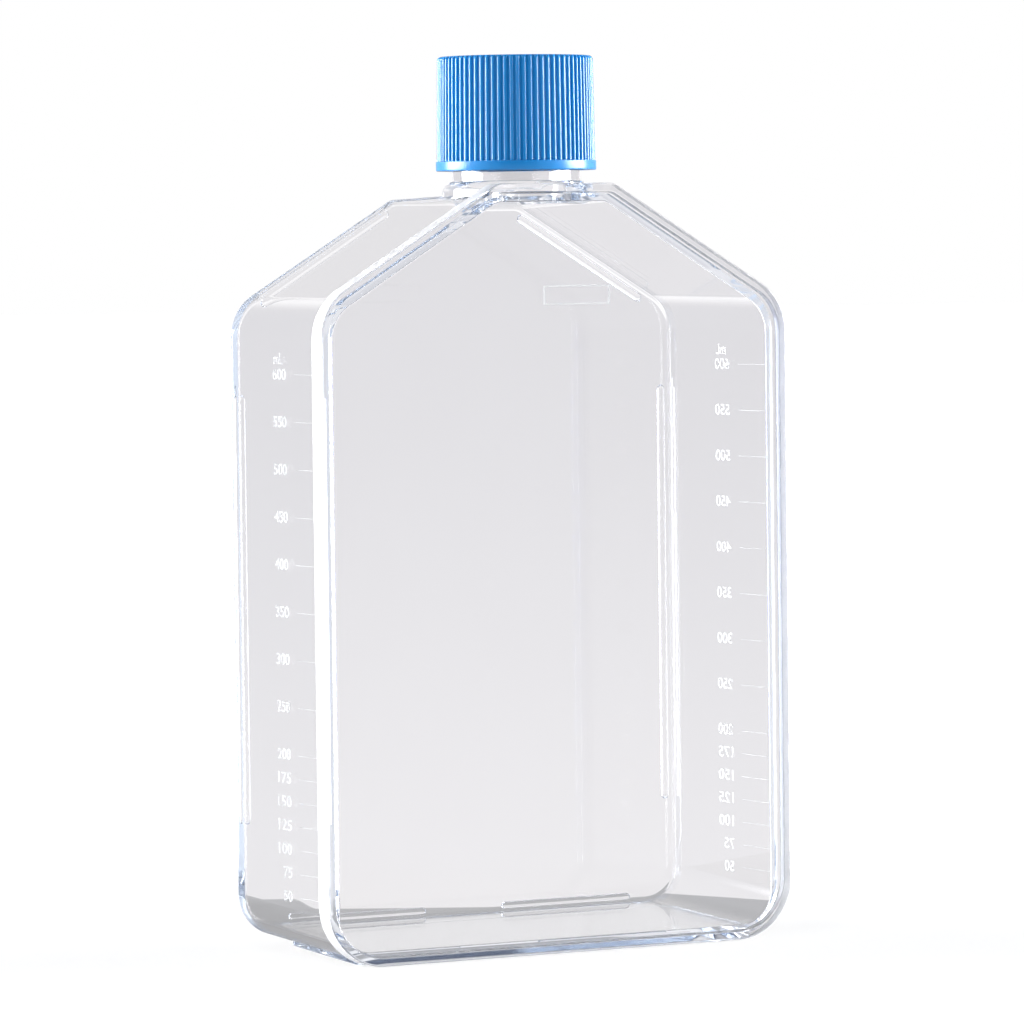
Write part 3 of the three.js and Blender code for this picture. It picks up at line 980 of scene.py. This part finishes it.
ink = white_ink()
flask = clear_flask()
dress(flask, clear_plastic(), "flask", "clear_plastic", "flask_body", "front_plate")
flask.data.materials.append(weld_edge())
for face in flask.data.polygons:
    if on_weld_edge(face):
        face.material_index = 1
dress(cap(), blue_plastic(), "cap", "blue_plastic", "cap_shell")
dress(ring(), white_plastic(), "vent_insert", "white_plastic", "seal_ring")
dress(membrane(), membrane_paper(), "vent_insert", "membrane", "vent_membrane")
for wall in (-1, 1):
    dress(graduations(wall), ink, "flask", "clear_plastic")
dress(blank_frame(), ink, "flask", "clear_plastic")

# ---- floor, light and camera ---------------------------------------------------------------------

# The camera's place and turns, in degrees, fitted to the flask's outline.
CAMERA_PLACE = (-0.70478, -1.24800, 0.16177)
CAMERA_AZIMUTH = -29.5
CAMERA_PITCH = 2.532
CAMERA_ROLL = -0.679
LENS = 221.87
SENSOR = 36

# Tones of the room round the flask. A pair of limits is where one tone starts to turn into the
# next and where it has: by height (the sine of the elevation), or by how far a direction points
# to the camera's side.
LOW_BACKDROP = (0.88, 0.865, 0.875)
BACKDROP = (0.738, 0.727, 0.747)
HIGH_BACKDROP = (1.12, 1.11, 1.12)
UPPER_BACKDROP = (0.85, 0.84, 0.85)
SIDES = (0.77, 0.78, 0.82)
FRONT_SIDES = (1.0, 1.02, 1.06)
CAMERA_SIDE = (0.05, 0.065, 0.1)
OVERHEAD = (0.06, 0.075, 0.12)
TONES_BY_HEIGHT = [
    ((-0.13, 0.0), BACKDROP),
    ((0.03, 0.09), HIGH_BACKDROP),
    ((0.15, 0.3), UPPER_BACKDROP),
]
TONES_FORWARD = [
    ((-0.8, -0.6), SIDES),
    ((0.15, 0.4), FRONT_SIDES),
]
CAMERA_SIDE_FORWARD = (0.72, 0.92)
CAMERA_SIDE_HEIGHT = (-0.1, 0.0)
OVERHEAD_HEIGHT = (0.5, 0.7)

# Two softboxes, at these angles from the camera's side, with the limits of their edges.
SOFTBOX = (29.0, 29.2, 29.7)
SOFTBOX_ANGLES = (-98, 98)
SOFTBOX_SIDES = (0.34, 0.26)
SOFTBOX_FACING = (0.0, 0.1)
SOFTBOX_TOP = (0.42, 0.32)
SOFTBOX_FOOT = (-0.16, -0.11)

# What the camera sees round the flask.
WHITE = (1.0, 1.0, 1.0)

FLOOR_RADIUS = 12.0
FLOOR_DROP = 0.0002
FLOOR_WHITE = (0.86, 0.86, 0.86)
FLOOR_GLOW = (1.05, 1.05, 1.05)
FLOOR_GLOW_SHARE = 0.75

# The glowing table that the clear plastic and the gloss see: grey with painted shade under and behind
# the flask, and paler in front of it. It ends behind the flask, a little further off on the left.
TABLE_SHADE = (0.42, 0.42, 0.43)
FRONT_TABLE = (0.95, 0.95, 0.96)
FRONT_TABLE_Y = (-0.035, -0.022)
TABLE_END = 0.079
LEFT_TABLE_END = 0.103
LEFT_TABLE_LIMITS = (-0.0455, -0.053)
TABLE_EDGE = 0.003
TABLE_HALF_DEPTH = 0.1
TABLE_HALF_WIDTH = 0.07
TABLE_FADE = 0.1

LIGHT_BOUNCES = 96


def around(angle, distance, height):
    """A place round the flask: 0 is on the camera's side, and the angle grows to the right."""
    turn = math.radians(CAMERA_AZIMUTH + angle)
    return (distance * math.sin(turn), -distance * math.cos(turn), height)


def floor_surface(graph, white):
    """What each kind of ray sees on the floor."""
    place = graph.place()
    beside = graph.smooth_share(graph.along(place, (0, 1, 0)), *FRONT_TABLE_Y)
    # Painted shade: the table glows grey under and behind the flask, and paler in front of it.
    painted_floor_shade = graph.mixed(beside, FRONT_TABLE, TABLE_SHADE)
    left = graph.smooth_share(graph.along(place, around(90, 1, 0)), *LEFT_TABLE_LIMITS)
    step = graph.reckon("MULTIPLY", left, LEFT_TABLE_END - TABLE_END)
    reach = graph.reckon("SUBTRACT", graph.along(place, around(180, 1, 0)), step)
    past_end = graph.smooth_share(reach, TABLE_END, TABLE_END + TABLE_EDGE)
    sides = ((around(0, 1, 0), TABLE_HALF_DEPTH), (around(90, 1, 0), TABLE_HALF_WIDTH))
    past_side = graph.smooth_share(graph.past_box(place, sides), 0.0, TABLE_FADE)
    beyond = graph.new("BsdfTransparent").outputs["BSDF"]
    table = graph.blended(graph.reckon("MAXIMUM", past_end, past_side), graph.glow(painted_floor_shade), beyond)
    seen = graph.blended(FLOOR_GLOW_SHARE, white, graph.glow(FLOOR_GLOW))
    path = graph.new("LightPath").outputs
    surface = graph.blended(path["Is Glossy Ray"], white, table)
    surface = graph.blended(path["Is Transmission Ray"], surface, table)
    return graph.blended(path["Is Camera Ray"], surface, seen)


def floor():
    """A white floor with the flask's soft shadow. The clear plastic and the gloss see a glowing table in
    its place, grey with painted shade under and behind the flask, which ends behind the flask, and the
    backdrop past its end."""
    count = 96
    points = [(0.0, 0.0, 0.0)]
    for i in range(count):
        turn = 2 * math.pi * i / count
        points.append((FLOOR_RADIUS / MM * math.cos(turn), FLOOR_RADIUS / MM * math.sin(turn), 0))
    faces = [(0, 1 + i, 1 + (i + 1) % count) for i in range(count)]
    piece = mesh_object("floor", points, faces)
    piece.location.z = -FLOOR_DROP
    m, graph, shader = material("floor_look", Roughness=1.0, Specular_IOR_Level=0.0)
    graph.feed(shader.inputs["Base Color"], FLOOR_WHITE)
    piece.data.materials.append(surfaced(m, graph, floor_surface(graph, shader.outputs["BSDF"])))


def softbox_share(graph, direction, height, angle):
    """How much of a softbox is seen in a direction, from 0 to 1."""
    across = graph.along(direction, around(angle + 90, 1, 0))
    share = graph.smooth_share(graph.reckon("ABSOLUTE", across), *SOFTBOX_SIDES)
    facing = graph.smooth_share(graph.along(direction, around(angle, 1, 0)), *SOFTBOX_FACING)
    below_top = graph.smooth_share(height, *SOFTBOX_TOP)
    above_foot = graph.smooth_share(height, *SOFTBOX_FOOT)
    for limit in (facing, below_top, above_foot):
        share = graph.reckon("MULTIPLY", share, limit)
    return share


def studio():
    """A grey backdrop between two big softboxes, with the dark room behind the camera. The camera
    itself sees white in its place."""
    world = bpy.data.worlds.new("studio")
    bpy.context.scene.world = world
    world.use_nodes = True
    graph = Graph(world.node_tree)
    direction = graph.new("TexCoord").outputs["Generated"]
    forward = graph.along(direction, around(0, 1, 0))
    height = graph.along(direction, (0, 0, 1))
    room = LOW_BACKDROP
    for reach, tones in ((height, TONES_BY_HEIGHT), (forward, TONES_FORWARD)):
        for limits, tone in tones:
            room = graph.mixed(graph.smooth_share(reach, *limits), room, tone)
    dark = graph.reckon("MULTIPLY", graph.smooth_share(forward, *CAMERA_SIDE_FORWARD),
                        graph.smooth_share(height, *CAMERA_SIDE_HEIGHT))
    room = graph.mixed(dark, room, CAMERA_SIDE)
    for angle in SOFTBOX_ANGLES:
        room = graph.mixed(softbox_share(graph, direction, height, angle), room, SOFTBOX)
    room = graph.mixed(graph.smooth_share(height, *OVERHEAD_HEIGHT), room, OVERHEAD)
    is_camera = graph.new("LightPath").outputs["Is Camera Ray"]
    background = graph.nodes["Background"]
    graph.feed(background.inputs["Color"], graph.mixed(is_camera, room, WHITE))
    background.inputs["Strength"].default_value = 1.0


def sun(name, azimuth, elevation, strength, width):
    """A soft distant lamp, in degrees; its azimuth is measured like around()'s angle."""
    lamp = bpy.data.lights.new(name, "SUN")
    lamp.energy = strength
    lamp.angle = math.radians(width)
    holder = bpy.data.objects.new(name, lamp)
    bpy.context.scene.collection.objects.link(holder)
    rise = math.radians(elevation)
    place = Vector(around(azimuth, math.cos(rise), math.sin(rise)))
    holder.rotation_euler = (-place).to_track_quat("-Z", "Y").to_euler()


def camera():
    """The photograph's view."""
    data = bpy.data.cameras.new("camera")
    data.sensor_width = SENSOR
    data.lens = LENS
    data.clip_start = 0.05
    data.clip_end = 20
    holder = bpy.data.objects.new("camera", data)
    bpy.context.scene.collection.objects.link(holder)
    azimuth, pitch, roll = (math.radians(a) for a in (CAMERA_AZIMUTH, CAMERA_PITCH, CAMERA_ROLL))
    back = Vector(around(0, math.cos(pitch), math.sin(pitch)))
    right = Vector((math.cos(azimuth), math.sin(azimuth), 0))
    up = back.cross(right)
    turned_right = right * math.cos(roll) + up * math.sin(roll)
    turned_up = up * math.cos(roll) - right * math.sin(roll)
    matrix = Matrix((turned_right, turned_up, back)).transposed().to_4x4()
    matrix.translation = Vector(CAMERA_PLACE)
    holder.matrix_world = matrix
    bpy.context.scene.camera = holder


floor()
studio()
sun("top_lamp", azimuth=-30, elevation=55, strength=0.8, width=30)
camera()

scene = bpy.context.scene
scene.view_settings.view_transform = "Standard"
scene.cycles.max_bounces = LIGHT_BOUNCES
scene.cycles.transmission_bounces = LIGHT_BOUNCES
scene.cycles.glossy_bounces = LIGHT_BOUNCES
